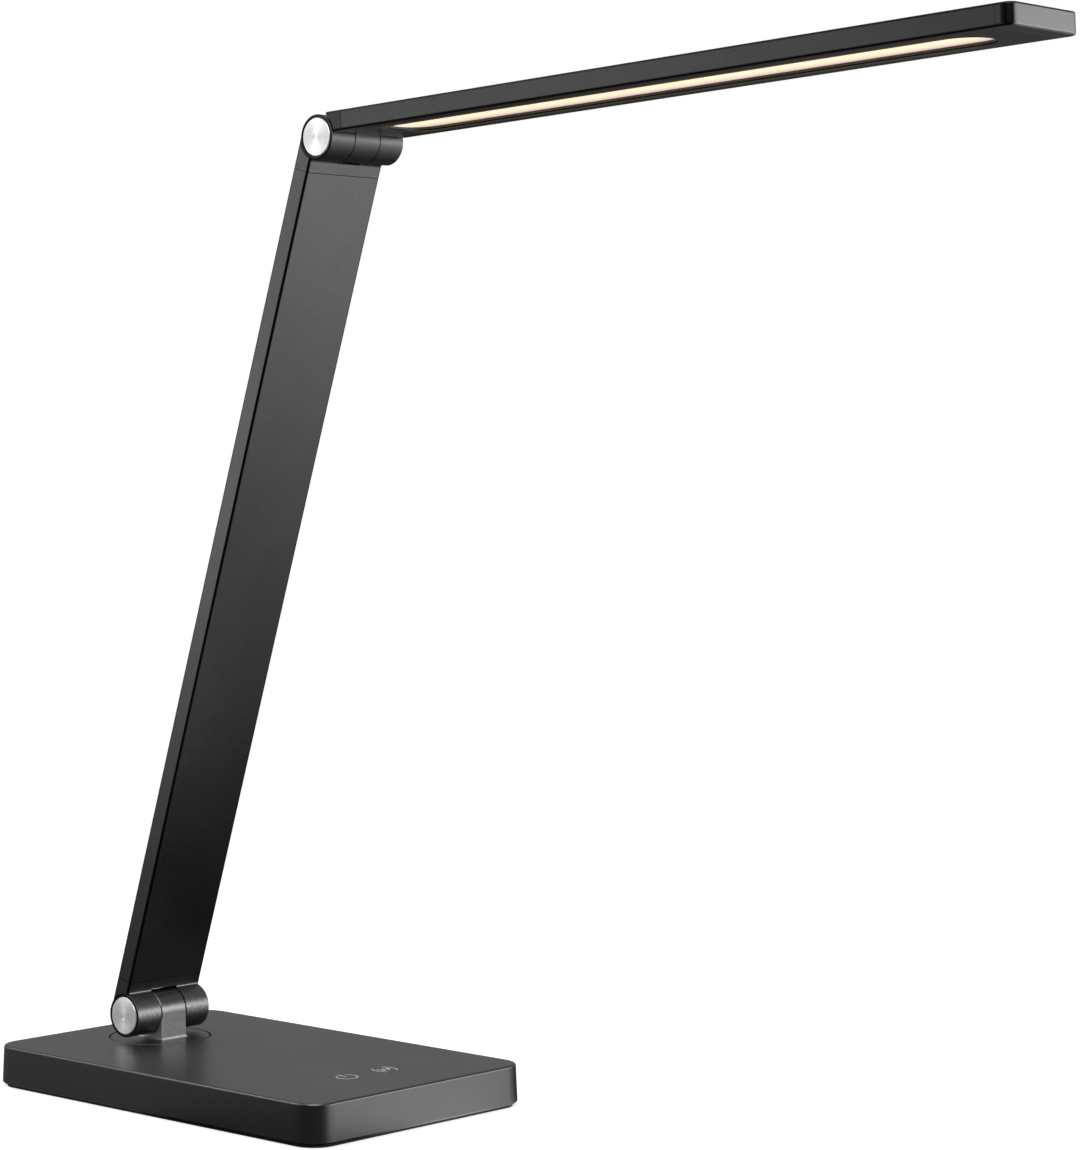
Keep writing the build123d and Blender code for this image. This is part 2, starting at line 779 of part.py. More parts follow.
def head_channel():
    """Aluminium profile of the head, with the long light slot in its underside."""
    body = bevelled_bar(head_inset, head_fitting_reach, channel_end)
    body -= Pos(0, 0, head_fitting_reach) * extrude(channel_space(), channel_end - head_fitting_reach)
    underside = Plane(origin=(0, head_inset, (slot_start + slot_end) / 2), x_dir=(0, 0, 1), z_dir=(0, 1, 0))
    slot = SlotOverall(slot_end - slot_start - 2 * slot_bevel, slot_width - 2 * slot_bevel)
    body -= extrude(underside * slot, slot_lip)
    rim = body.edges().filter_by_position(Axis.Y, head_inset, head_inset).filter_by_position(
        Axis.Z, slot_start, slot_end
    )
    return chamfer(rim, slot_bevel)


def head_plug(z_low, z_high):
    """Tongue between the channel's ledges, which joins an end piece to the channel."""
    half_plug = ledge_inner_x - slide_gap
    return block(
        -half_plug, half_plug, diffuser_low + slide_gap, led_board_top - slide_gap, z_low, z_high
    )


def head_fitting():
    """Cast end of the head with the upper hinge's middle knuckle."""
    body = bar(head_inset, head_shoulder, head_fitting_reach)
    body += head_plug(head_fitting_reach, head_fitting_reach + head_plug_length)
    body -= barrel(upper_barrel_radius + knuckle_relief, -half_width, half_width)
    top = head_inset + profile_thickness
    body += block(-half_middle, half_middle, head_inset, top, 0, head_fitting_reach)
    body += barrel(upper_barrel_radius, -half_middle, half_middle)
    body -= barrel(axle_radius + running_gap, -half_middle, half_middle)
    cable_y = (diffuser_top + led_board_low) / 2
    wire_hole = disc(head_cable_radius + slide_gap, 0, head_fitting_reach + head_plug_length)
    return body - Pos(0, cable_y, 0) * wire_hole


def head_tip_cap():
    """End cap of the head with rounded corners."""
    outline = Rectangle(profile_width, 2 * tip_cap_length)
    far_corners = outline.vertices().group_by(Axis.Y)[0]
    outline = fillet(far_corners, tip_corner_radius)
    body = extrude(outline, profile_thickness / 2, both=True)
    flat_faces = body.faces().filter_by(Axis.Z)
    body = fillet(flat_faces.edges(), profile_round)
    body = Pos(0, head_inset + profile_thickness / 2, channel_end) * Rot(-90, 0, 0) * body
    body &= block(
        -half_width, half_width, 0, head_inset + profile_thickness, channel_end, head_length
    )
    return body + head_plug(channel_end - tip_plug_length, channel_end)


def diffuser():
    """Opal strip in the channel's lower groove, seen through the light slot."""
    return block(
        -half_width + head_wall + slide_gap, half_width - head_wall - slide_gap,
        diffuser_low, diffuser_top, board_start, board_end,
    )


def led_board():
    """Aluminium-backed board in the channel's upper groove, against the top wall."""
    return block(
        -half_width + head_wall + slide_gap, half_width - head_wall - slide_gap,
        led_board_low, led_board_top, board_start, board_end,
    )


def leds():
    """Two rows of light-emitting diodes along the board, over the slot."""
    count = int((slot_end - slot_start) / led_pitch)
    middle = (slot_start + slot_end) / 2
    chip = Pos(0, led_board_low - led_height / 2, 0) * Box(led_width, led_height, led_length)
    return group(
        Pos(x, 0, middle + (index - (count - 1) / 2) * led_pitch) * chip
        for x in (-led_rows_apart / 2, led_rows_apart / 2)
        for index in range(count)
    )


def head_cable():
    """Cable from the upper hinge's axle to the LED board."""
    cable_y = (diffuser_top + led_board_low) / 2
    start = axle_radius - head_cable_radius
    return Pos(0, cable_y, 0) * disc(head_cable_radius, start, start + head_cable_length)


def write(name, shape, place=Pos(0, 0, 0)):
    export_step(place * shape, f"parts/{name}.step")


os.makedirs("parts", exist_ok=True)
swivel_place = Pos(0, swivel_y, 0)

write("base_housing", base_housing())
write("bottom_cover", bottom_cover())
write("cover_screws", cover_screws())
write("non_slip_pad", non_slip_pad())
write("ballast_plate", ballast_plate())
write("control_board", control_board())
write("board_parts", board_parts())
write("board_screws", board_screws())
write("touch_pads", touch_pads())
write("power_inlet", power_inlet())
write("inlet_nut", inlet_nut())
write("inlet_lead", inlet_lead())
write("glide_ring", glide_ring(), swivel_place)
write("spindle_bush", spindle_bush(), swivel_place)
write("thrust_washer", thrust_washer(), swivel_place)

write("turntable_disc", turntable_disc(), swivel_place)
write("hinge_post", hinge_post(), swivel_place)
write("spindle", spindle(), swivel_place)
write("stop_washer", stop_washer(), swivel_place)
write("spring_washer", spring_washer(), swivel_place)
write("swivel_nut", swivel_nut(), swivel_place)

write("arm_tube", arm_tube(), arm_place)
write("arm_cable", arm_cable(), arm_place)
lower_and_upper = (lower_barrel_radius, upper_barrel_radius)
write("arm_fittings", at_both_hinges(*map(arm_fitting, lower_and_upper)), arm_place)
write("hinge_axles", at_both_hinges(hinge_axle(), hinge_axle()), arm_place)
write("friction_washers", at_both_hinges(friction_washers(), friction_washers()), arm_place)
write("spring_discs", at_both_hinges(spring_disc(), spring_disc()), arm_place)
write("hinge_nuts", at_both_hinges(hinge_nut(), hinge_nut()), arm_place)
write("hinge_caps", at_both_hinges(*map(hinge_caps, lower_and_upper)), arm_place)

write("head_fitting", head_fitting(), head_place)
write("head_channel", head_channel(), head_place)
write("head_tip_cap", head_tip_cap(), head_place)
write("diffuser", diffuser(), head_place)
write("led_board", led_board(), head_place)
write("leds", leds(), head_place)
write("head_cable", head_cable(), head_place)
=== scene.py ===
import json
import math

import bpy
from mathutils import Matrix, Vector


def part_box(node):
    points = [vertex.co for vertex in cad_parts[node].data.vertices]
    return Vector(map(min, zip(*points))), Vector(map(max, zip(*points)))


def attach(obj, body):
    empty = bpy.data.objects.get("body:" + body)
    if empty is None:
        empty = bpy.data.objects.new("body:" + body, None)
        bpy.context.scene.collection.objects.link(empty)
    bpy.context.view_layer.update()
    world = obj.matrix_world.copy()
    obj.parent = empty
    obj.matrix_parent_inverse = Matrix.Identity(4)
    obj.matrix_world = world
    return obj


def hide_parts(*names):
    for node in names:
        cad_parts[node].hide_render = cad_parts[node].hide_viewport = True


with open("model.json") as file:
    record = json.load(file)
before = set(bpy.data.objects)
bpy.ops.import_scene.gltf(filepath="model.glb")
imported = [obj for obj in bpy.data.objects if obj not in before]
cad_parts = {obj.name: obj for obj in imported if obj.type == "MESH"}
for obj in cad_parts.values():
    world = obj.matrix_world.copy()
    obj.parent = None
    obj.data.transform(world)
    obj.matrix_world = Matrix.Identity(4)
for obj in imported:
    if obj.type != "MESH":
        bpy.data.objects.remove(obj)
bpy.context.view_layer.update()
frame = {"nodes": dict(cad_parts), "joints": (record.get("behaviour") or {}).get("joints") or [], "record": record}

nodes = frame["nodes"]
joints = {joint["name"]: Vector(joint["pos_m"]) for joint in frame["joints"]}

# Places in metres and angles in radians, in the lamp's own frame.
# The bars' frames start at their hinges, with X along the hinge and Z along the bar.
lower_hinge = joints["lower_hinge"]
upper_hinge = joints["upper_hinge"]
arm_tilt = math.atan2(lower_hinge.y - upper_hinge.y, upper_hinge.z - lower_hinge.z)
head_tilt = math.radians(87.4)
base_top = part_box("base_housing")[1].z
millimetre = 0.001

# The bars' section, and how far their faces lie from the hinges' axes
bar_half_width = 20.0 * millimetre
bar_thickness = 8.0 * millimetre
# How far in from a bar's sides and faces the painted shade on its rounded corners reaches
corner_reach = 1.1 * millimetre
corner_full_reach = 0.6 * corner_reach
arm_face = 0.6 * millimetre
underside = 1.15 * millimetre

# The hinges' knuckles, with a painted highlight and painted shade on their ends round the caps, and the turned
# grooves of the caps
rim_radius = 9.15 * millimetre
# Past this distance along the hinge, the knuckles' ends round the caps get painted shade
rim_start = 19.7 * millimetre
groove_slope = 0.60
groove_width = 0.012 * millimetre
groove_start = 0.6 * millimetre

# The gap round the turntable
gap_width = 0.5 * millimetre
gap_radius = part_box("turntable_disc")[1].x + 0.5 * gap_width
gap_reach = 0.55 * millimetre
gap_full_reach = 0.7 * gap_reach

# Bands over which the painted highlight on the post's edges and foot grows from nothing to full
post_low, post_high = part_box("hinge_post")
post_plinth_margin = 0.35 * millimetre
post_half_width = (post_high.x - post_low.x) / 2 - post_plinth_margin
highlight_edge = (post_half_width - 0.42 * millimetre, post_half_width - 0.22 * millimetre)
highlight_height = (lower_hinge.z - 1.0 * millimetre, lower_hinge.z - 3.0 * millimetre)
highlight_foot = (base_top + 0.9 * millimetre, base_top + 0.6 * millimetre)

# The light slot along the head, and the painted glow of the light that spills from it onto the head
slot_edge = 11.0 * millimetre
slot_start = 25.2 * millimetre
slot_end = 304.8 * millimetre
spill_edge = 17.0 * millimetre
spill_start = (slot_start - 4 * millimetre, slot_start + 6 * millimetre)
spill_end = (slot_end - 6 * millimetre, slot_end - 20 * millimetre)
spill_color = (0.046, 0.032, 0.010, 1.0)

# The opal's glow, across the slot from its middle to its rim and along it from end to end
inner_glow = (1.0 * millimetre, 6.0 * millimetre)
rim_glow = (5.0 * millimetre, 10.5 * millimetre)
first_glow = (24 * millimetre, 34 * millimetre)
last_glow = (306 * millimetre, 296 * millimetre)
glow_middle = (0.86, 0.62, 0.37, 1.0)
glow_inner = (0.72, 0.45, 0.29, 1.0)
glow_rim = (0.32, 0.22, 0.17, 1.0)
glow_end = (0.60, 0.57, 0.53, 1.0)

# Bands on the head's underside and end cap over which painted shade grows darker
underside_skin = (underside + 0.5 * millimetre, underside + 0.1 * millimetre)
underside_shade = (300 * millimetre, 60 * millimetre)
flank_across = (bar_half_width - 1.8 * millimetre, bar_half_width - 1.2 * millimetre)
flank_along = (321.4 * millimetre, 322.4 * millimetre)

# The printed marks and the diodes
touch_mark_x = 10.5 * millimetre
touch_mark_y = -64.3 * millimetre
ink_height = 0.03 * millimetre
diode_width = 2.8 * millimetre
diode_length = 3.5 * millimetre
diode_count = 31

# The camera of the front view
camera_place = (-0.91873, -0.99384, 0.26791)
camera_turn = math.radians(47.714)
camera_dip = math.radians(2.267)
camera_lens = 103.01


# Node trees and objects


class Value:
    """A socket in a node tree, so that arithmetic on it adds Math or Vector Math nodes."""

    def __init__(self, tree, socket):
        self.tree = tree
        self.socket = socket

    def math(self, operation, *others):
        """This value and others, numbers too, through a Math or Vector Math node."""
        sides = [self, *others]
        is_vector = any(isinstance(side, Value) and side.socket.type == "VECTOR" for side in sides)
        if not is_vector:
            return self.tree.node("ShaderNodeMath", {"operation": operation}, dict(enumerate(sides)))
        sides = [(side,) * 3 if isinstance(side, (int, float)) else side for side in sides]
        output = "Value" if operation == "LENGTH" else "Vector"
        return self.tree.node(
            "ShaderNodeVectorMath", {"operation": operation}, dict(enumerate(sides)), output
        )

    def __add__(self, other):
        return self.math("ADD", other)

    def __sub__(self, other):
        return self.math("SUBTRACT", other)

    def __mul__(self, other):
        return self.math("MULTIPLY", other)

    def __truediv__(self, other):
        return self.math("DIVIDE", other)

    def __radd__(self, other):
        return self.math("ADD", other)

    def __rmul__(self, other):
        return self.math("MULTIPLY", other)

    def __rsub__(self, other):
        return self.math("MULTIPLY", -1.0).math("ADD", other)

    def __pow__(self, other):
        return self.math("POWER", other)

    def __abs__(self):
        return self.math("ABSOLUTE")


class Tree:
    """A node tree, to which each method adds nodes."""

    def __init__(self, tree):
        self.tree = tree
        tree.nodes.clear()

    def node(self, kind, settings=None, sockets=None, output=0):
        """Any node: its settings go first, then the values or links of its sockets."""
        added = self.tree.nodes.new(kind)
        for name, value in (settings or {}).items():
            setattr(added, name, value)
        for name, value in (sockets or {}).items():
            socket = self.find(added.inputs, name)
            for part in value if isinstance(value, list) else [value]:
                if isinstance(part, Value):
                    self.tree.links.new(part.socket, socket)
                else:
                    socket.default_value = part
        return Value(self, self.find(added.outputs, output))

    @staticmethod
    def find(sockets, name):
        """A socket by its number or name, or by its identifier where names repeat."""
        if isinstance(name, int):
            return sockets[name]
        same = [socket for socket in sockets if socket.identifier == name]
        return same[0] if same else sockets[name]

    def parts(self, vector, axes="XYZ"):
        """The parts of a vector along some of its axes."""
        apart = self.node("ShaderNodeSeparateXYZ", None, {0: vector}).socket.node
        return [Value(self, apart.outputs[axis]) for axis in axes]

    def vector(self, x, y, z):
        """A vector from its parts."""
        return self.node("ShaderNodeCombineXYZ", None, {"X": x, "Y": y, "Z": z})


class Shader(Tree):
    """The node tree of a material or the world."""

    def noise(self, point, size, detail=2.0, rough=0.5):
        """Noise whose grains are about the given size, in millimetres."""
        scale = 1 / (size * millimetre)
        return self.node(
            "ShaderNodeTexNoise", None,
            {"Vector": point, "Scale": scale, "Detail": detail, "Roughness": rough},
        )

    def between(self, value, low, high, new_low=0.0, new_high=1.0):
        """The value stretched from one span to another, smooth and clamped at both ends."""
        return self.node(
            "ShaderNodeMapRange", {"interpolation_type": "SMOOTHSTEP"},
            {
                "Value": value, "From Min": low, "From Max": high,
                "To Min": new_low, "To Max": new_high,
            },
        )

    def mix(self, factor, first, second, kind="Color"):
        """Two colours or vectors blended by a factor."""
        data_type = "RGBA" if kind == "Color" else "VECTOR"
        return self.node(
            "ShaderNodeMix", {"data_type": data_type},
            {"Factor_Float": factor, "A_" + kind: first, "B_" + kind: second}, "Result_" + kind,
        )

    def bump(self, height, depth):
        """Bumps of the given depth in millimetres."""
        return self.node("ShaderNodeBump", None, {"Height": height, "Distance": depth * millimetre})

    def ray(self, *kinds):
        """1 where the ray is one of the kinds, such as Is Camera Ray."""
        light_path = self.node("ShaderNodeLightPath").socket.node
        share = Value(self, light_path.outputs[kinds[0]])
        for kind in kinds[1:]:
            share = share + Value(self, light_path.outputs[kind])
        return share.math("MINIMUM", 1.0)

    def end(self, kind, shader):
        """Joins a shader to the tree's output node."""
        output = self.tree.nodes.new(kind)
        self.tree.links.new(shader.socket, output.inputs["Surface"])


class Finish(Shader):
    """A material, patterned in the lamp's own frame or in a bar's."""

    def __init__(self, name):
        self.material = bpy.data.materials.new(name)
        self.material.use_nodes = True
        super().__init__(self.material.node_tree)
        self.place = self.node("ShaderNodeTexCoord", None, None, "Object")

    def in_frame(self, origin, tilt):
        """The place seen from a frame at origin that is tipped about X."""
        return self.node(
            "ShaderNodeMapping", {"vector_type": "TEXTURE"},
            {"Vector": self.place, "Location": tuple(origin), "Rotation": (tilt, 0.0, 0.0)},
        )

    def surface(self, sockets):
        """The finished material, whose one surface has the given sockets."""
        self.end("ShaderNodeOutputMaterial", self.node("ShaderNodeBsdfPrincipled", None, sockets))
        return self.material


def grey(level):
    """A linear grey."""
    return (level, level, level, 1.0)


def new_object(name, data):
    """An object in the scene."""
    added = bpy.data.objects.new(name, data)
    bpy.context.scene.collection.objects.link(added)
    return added


# Finishes


def moulded_black(name):
    """Black plastic with the mould's fine eroded grain, dull in the gap round the turntable."""
    finish = Finish(name)
    x, y = finish.parts(finish.place, "XY")
    grain = finish.noise(finish.place, size=0.45, detail=3.0, rough=0.6)
    cloud = finish.noise(finish.place, size=40.0, detail=3.0)
    from_gap = abs(finish.vector(x, y - lower_hinge.y, 0.0).math("LENGTH") - gap_radius)
    gap = finish.between(from_gap, gap_reach, gap_full_reach)
    return finish.surface({
        "Base Color": finish.mix(cloud, grey(0.006), grey(0.009)),
        "Roughness": 0.27 + 0.06 * cloud + 0.06 * grain + 0.65 * gap,
        "IOR": 1.8,
        "Normal": finish.bump(grain, 0.012),
    })


def blasted_black(finish, place, level, rough, speck_gain=1.3):
    """Sockets for black anodised aluminium, blasted before its dye so that specks catch the light."""
    grain = finish.noise(place, size=0.5, rough=0.6)
    cloud = finish.noise(place, size=25.0, detail=3.0)
    speck = finish.between(finish.noise(place, size=0.8, detail=3.0, rough=0.7), 0.50, 0.80)
    dyed = finish.mix(cloud, grey(level * 0.92), grey(level * 1.06))
    return {
        "Base Color": finish.mix(speck, dyed, grey(level * speck_gain)),
        "Metallic": 1.0,
        "Roughness": (rough - 0.05) + 0.05 * cloud + 0.06 * grain,
        "Normal": finish.bump(grain, 0.010),
    }


def painted_corner_shade(finish, sockets, x, y, low_face):
    """Darkens the bar's rounded corners to near black: painted shade."""
    half_thickness = bar_thickness / 2
    side = finish.between(abs(x), bar_half_width - corner_reach, bar_half_width - corner_full_reach)
    face = finish.between(
        abs(y - (low_face + half_thickness)),
        half_thickness - corner_reach, half_thickness - corner_full_reach,
    )
    sockets["Base Color"] = finish.mix(side * face, sockets["Base Color"], grey(0.012))


def blasted_arm(name):
    """The arm's finish, with painted shade, near black, on its rounded corners."""
    finish = Finish(name)
    place = finish.in_frame(lower_hinge, arm_tilt)
    x, y = finish.parts(place, "XY")
    sockets = blasted_black(finish, place, level=0.094, rough=0.28)
    painted_corner_shade(finish, sockets, x, y, arm_face)
    return finish.surface(sockets)


def blasted_head(name):
    """The head's finish: painted shade underneath, deepest near the hinge, and a painted glow of the slot's warm
    light.
    """
    finish = Finish(name)
    place = finish.in_frame(upper_hinge, head_tilt)
    x, y, z = finish.parts(place)
    # Painted light: a warm glow on the underside beside the slot, fading towards its ends
    painted_spill_glow = finish.between(abs(x), spill_edge, slot_edge) ** 2
    painted_spill_glow = painted_spill_glow * finish.between(y, underside_skin[1], underside)
    painted_spill_glow = painted_spill_glow * finish.between(z, *spill_start) * finish.between(z, *spill_end)
    # The head's level is set below the arm's for the same anodised finish: painted shade
    sockets = blasted_black(finish, place, level=0.066, rough=0.28)
    # Painted shade on the underside, deepest towards the hinge
    underside_painted_shade = finish.between(y, *underside_skin) * finish.between(z, *underside_shade, 0.20, 0.60)
    sockets["Base Color"] = finish.mix(underside_painted_shade, sockets["Base Color"], grey(0.0))
    painted_corner_shade(finish, sockets, x, y, underside)
    sockets["Emission Color"] = finish.mix(painted_spill_glow, grey(0.0), spill_color)
    sockets["Emission Strength"] = 1.0
    return finish.surface(sockets)


def blasted_casting(name, level, origin, tilt, low_face):
    """The cast ends' finish: rougher knuckles with a painted highlight, strongest at the lower hinge, and
    near-black painted shade in the rims round the caps.
    """
    finish = Finish(name)
    x, y, z = finish.parts(finish.place)
    from_lower = finish.vector(0.0, y - lower_hinge.y, z - lower_hinge.z).math("LENGTH")
    from_upper = finish.vector(0.0, y - upper_hinge.y, z - upper_hinge.z).math("LENGTH")
    knuckle = from_lower.math("MINIMUM", from_upper).math("LESS_THAN", rim_radius)
    # Painted shade, near black, on the knuckles' ends round the caps
    rim = knuckle * abs(x).math("GREATER_THAN", rim_start)
    sockets = blasted_black(finish, finish.place, level, rough=0.30, speck_gain=1.4)
    across, deep = finish.parts(finish.in_frame(origin, tilt), "XY")
    painted_corner_shade(finish, sockets, across, deep, low_face)
    speck = finish.between(finish.noise(finish.place, size=0.7, detail=3.0, rough=0.7), 0.50, 0.72)
    # Painted highlight: the knuckles brighter than the flats, the lower hinge's far brighter than the upper's
    upper_knuckle_highlight = finish.mix(speck, grey(0.066), grey(0.098))
    lower_knuckle_highlight = finish.mix(speck, grey(0.135), grey(0.27))
    turned = finish.mix(from_lower.math("LESS_THAN", rim_radius), upper_knuckle_highlight, lower_knuckle_highlight)
    color = finish.mix(knuckle, sockets["Base Color"], turned)
    sockets["Base Color"] = finish.mix(rim, color, grey(0.02))
    sockets["Roughness"] = sockets["Roughness"] + 0.08 * knuckle
    return finish.surface(sockets)


def end_casting(name):
    """The end cap's finish, with near-black painted shade where its flanks turn into its face."""
    finish = Finish(name)
    place = finish.in_frame(upper_hinge, head_tilt)
    x, y, z = finish.parts(place)
    sockets = blasted_black(finish, place, level=0.082, rough=0.30, speck_gain=1.4)
    painted_corner_shade(finish, sockets, x, y, underside)
    # Painted shade where the flanks round into the face
    corner_painted_shade = finish.between(abs(x), *flank_across) * finish.between(z, *flank_along, 0.25, 1.0)
    sockets["Base Color"] = finish.mix(corner_painted_shade, sockets["Base Color"], grey(0.014))
    return finish.surface(sockets)


def ground_lines(finish, stretch):
    """Grinding lines along the axis with the least stretch."""
    axes = finish.parts(finish.place)
    stretched = finish.vector(*[part * factor for part, factor in zip(axes, stretch)])
    return finish.noise(stretched, size=6.0, detail=3.0, rough=0.6)


def gunmetal_edge_highlights(name):
    """Gunmetal with upright grinding lines, and a bright painted highlight along the post's edges and foot."""
    finish = Finish(name)
    x, z = finish.parts(finish.place, "XZ")
    line = ground_lines(finish, (12, 12, 1))
    stain = finish.noise(finish.place, size=2.2, detail=4.0, rough=0.65)
    # Painted highlight along the post's upright edges under the hinge and round its foot
    edge = finish.between(abs(x), *highlight_edge) * finish.between(z, *highlight_height)
    foot = finish.between(z, *highlight_foot)
    edge_highlight = edge.math("MAXIMUM", foot) * finish.between(stain, 0.30, 0.50, 0.5, 1.0)
    body = finish.mix(finish.between(stain, 0.35, 0.65), grey(0.132), grey(0.158))
    return finish.surface({
        "Base Color": finish.mix(edge_highlight, body, grey(0.60)),
        "Metallic": 1.0,
        "Roughness": 0.30 + 0.10 * line + 0.25 * edge_highlight,
        "Normal": finish.bump(line, 0.004),
    })


def ground_metal(name, level, rough, stretch):
    """Bare or plated metal with grinding lines."""
    finish = Finish(name)
    line = ground_lines(finish, stretch)
    cloud = finish.noise(finish.place, size=8.0)
    return finish.surface({
        "Base Color": finish.mix(line, grey(level * 0.85), grey(level)),
        "Metallic": 1.0,
        "Roughness": rough + 0.10 * line + 0.05 * cloud,
        "Normal": finish.bump(line, 0.004),
    })


def spun_aluminium(name):
    """Bright aluminium turned in fine circles round its hinge, so that light fans out over them."""
    finish = Finish(name)
    y, z = finish.parts(finish.place, "YZ")
    from_lower = finish.vector(0.0, y - lower_hinge.y, z - lower_hinge.z)
    from_upper = finish.vector(0.0, y - upper_hinge.y, z - upper_hinge.z)
    half_height = (lower_hinge.z + upper_hinge.z) / 2
    from_hinge = finish.mix(z.math("GREATER_THAN", half_height), from_lower, from_upper, "Vector")
    radius = from_hinge.math("LENGTH")
    outward = finish.node(
        "ShaderNodeVectorTransform",
        {"vector_type": "VECTOR", "convert_from": "OBJECT", "convert_to": "WORLD"},
        {0: from_hinge.math("NORMALIZE")},
    )
    number = (radius / groove_width).math("FLOOR")
    groove = finish.node("ShaderNodeTexWhiteNoise", {"noise_dimensions": "1D"}, {"W": number}, "Value")
    lean = groove * 2.0 - 1.0
    slope = lean * finish.between(radius, 0.0, groove_start) * groove_slope
    normal = finish.node("ShaderNodeNewGeometry", None, None, "Normal")
    wide = finish.noise(finish.vector(radius, 0.0, 0.0), size=0.8, rough=0.6)
    return finish.surface({
        "Base Color": finish.mix(wide, grey(0.84), grey(0.92)),
        "Metallic": 0.60,
        "Roughness": 0.30 + 0.06 * wide,
        "Normal": (normal + outward * slope).math("NORMALIZE"),
    })


def plain_plastic(name, color, rough, grain_size=0.6, grain_depth=0.006):
    """Moulded plastic or rubber with a fine grain."""
    finish = Finish(name)
    grain = finish.noise(finish.place, grain_size, detail=3.0, rough=0.6)
    cloud = finish.noise(finish.place, size=10.0)
    dark = tuple(part * 0.82 for part in color[:3]) + (1.0,)
    return finish.surface({
        "Base Color": finish.mix(cloud, dark, color),
        "Roughness": rough + 0.12 * grain,
        "Normal": finish.bump(grain, grain_depth),
    })


def opal_glow(name):
    """Opal plastic lit from inside, brightest between the rows of diodes, dimmer at the slot's rim."""
    finish = Finish(name)
    x, z = finish.parts(finish.in_frame(upper_hinge, head_tilt), "XZ")
    inner = finish.between(abs(x), *inner_glow)
    rim = finish.between(abs(x), *rim_glow)
    lit = finish.between(z, *first_glow) * finish.between(z, *last_glow)
    cloud = finish.noise(finish.place, size=3.0)
    glow = finish.mix(rim, finish.mix(inner, glow_middle, glow_inner), glow_rim)
    return finish.surface({
        "Base Color": finish.mix(cloud, (0.50, 0.47, 0.42, 1.0), (0.56, 0.53, 0.48, 1.0)),
        "Roughness": 0.42 + 0.1 * cloud,
        "Emission Color": finish.mix(lit, glow_end, glow),
        "Emission Strength": 1.0,
    })


finishes = {
    "housing_plastic": moulded_black("moulded_black"),
    "cover_steel": plain_plastic("coated_steel", grey(0.03), 0.45),
    "pad_rubber": plain_plastic("ribbed_rubber", grey(0.012), 0.75, 1.2, 0.05),
    "ballast_steel": ground_metal("sawn_steel", 0.30, 0.40, (1, 12, 12)),
    "plated_steel": ground_metal("zinc_plate", 0.58, 0.30, (6, 6, 1)),
    "circuit_board": plain_plastic("green_board", (0.01, 0.10, 0.04, 1.0), 0.30),
    "board_parts": plain_plastic("black_epoxy", grey(0.03), 0.40),
    "touch_foam": plain_plastic("open_foam", grey(0.08), 0.85, 0.8, 0.15),
    "inlet_plastic": plain_plastic("glossy_nylon", grey(0.015), 0.25),
    "cable_sheath": plain_plastic("soft_sheath", grey(0.02), 0.5),
    "nylon": plain_plastic("natural_nylon", (0.75, 0.72, 0.64, 1.0), 0.40),
    "black_acetal": plain_plastic("black_acetal", grey(0.02), 0.40),
    "post_metal": gunmetal_edge_highlights("gunmetal_edge_highlights"),
    "anodised_black": blasted_arm("blasted_arm"),
    "cast_black": blasted_casting("blasted_casting", 0.090, lower_hinge, arm_tilt, arm_face),
    "cap_bright": spun_aluminium("spun_aluminium"),
    "spring_steel": ground_metal("blued_steel", 0.35, 0.28, (1, 8, 8)),
    "opal_plastic": opal_glow("lit_opal"),
    "led_board_white": plain_plastic("white_mask", (0.80, 0.80, 0.78, 1.0), 0.35),
    "led_phosphor": plain_plastic("yellow_phosphor", (0.85, 0.62, 0.12, 1.0), 0.45),
}


def dress(node, material):
    """Gives a CAD node its finish."""
    for holder in nodes[node].material_slots:
        holder.material = material


for subpart in frame["record"]["subparts"]:
    dress(subpart["node"], finishes[subpart["material_slot"]])
dress("head_channel", blasted_head("blasted_head"))
# The head's fitting, a darker copy of the arm's cast finish: painted shade
dress("head_fitting", blasted_casting("shaded_casting", 0.042, upper_hinge, head_tilt, underside))
dress("head_tip_cap", end_casting("end_casting"))


# Printed marks and diodes


class Geometry(Tree):
    """A Geometry Nodes tree whose sizes are its named inputs."""

    def __init__(self, name, sizes):
        self.group = bpy.data.node_groups.new(name, "GeometryNodeTree")
        super().__init__(self.group)
        self.sizes = sizes
        for size in sizes:
            self.group.interface.new_socket(size, in_out="INPUT", socket_type="NodeSocketFloat")
        self.group.interface.new_socket(
            "Geometry", in_out="OUTPUT", socket_type="NodeSocketGeometry"
        )
        self.inputs = self.node("NodeGroupInput").socket.node

    def size(self, name):
        """One of the tree's inputs."""
        return Value(self, self.inputs.outputs[name])

    def join(self, *pieces):
        return self.node("GeometryNodeJoinGeometry", None, {"Geometry": list(pieces)})

    def moved(self, piece, place, turn=(0.0, 0.0, 0.0)):
        return self.node(
            "GeometryNodeTransform", None,
            {"Geometry": piece, "Translation": place, "Rotation": turn},
        )

    def painted(self, piece, material):
        return self.node("GeometryNodeSetMaterial", None, {"Geometry": piece, "Material": material})

    def cuboid(self, x, y, z):
        return self.node("GeometryNodeMeshCube", None, {"Size": self.vector(x, y, z)})

    def piece(self, result):
        """The tree's result as a plain mesh in the lamp's own frame."""
        result = self.node("GeometryNodeRealizeInstances", None, {"Geometry": result})
        output = self.group.nodes.new("NodeGroupOutput")
        self.group.links.new(result.socket, output.inputs[0])
        holder = new_object(self.group.name, bpy.data.meshes.new(self.group.name))
        modifier = holder.modifiers.new("nodes", "NODES")
        modifier.node_group = self.group
        for item in self.group.interface.items_tree:
            if item.in_out == "INPUT":
                modifier[item.identifier] = self.sizes[item.name]
        seen = holder.evaluated_get(bpy.context.evaluated_depsgraph_get())
        mesh = bpy.data.meshes.new_from_object(seen)
        holder.modifiers.remove(modifier)
        holder.data = mesh
        return holder


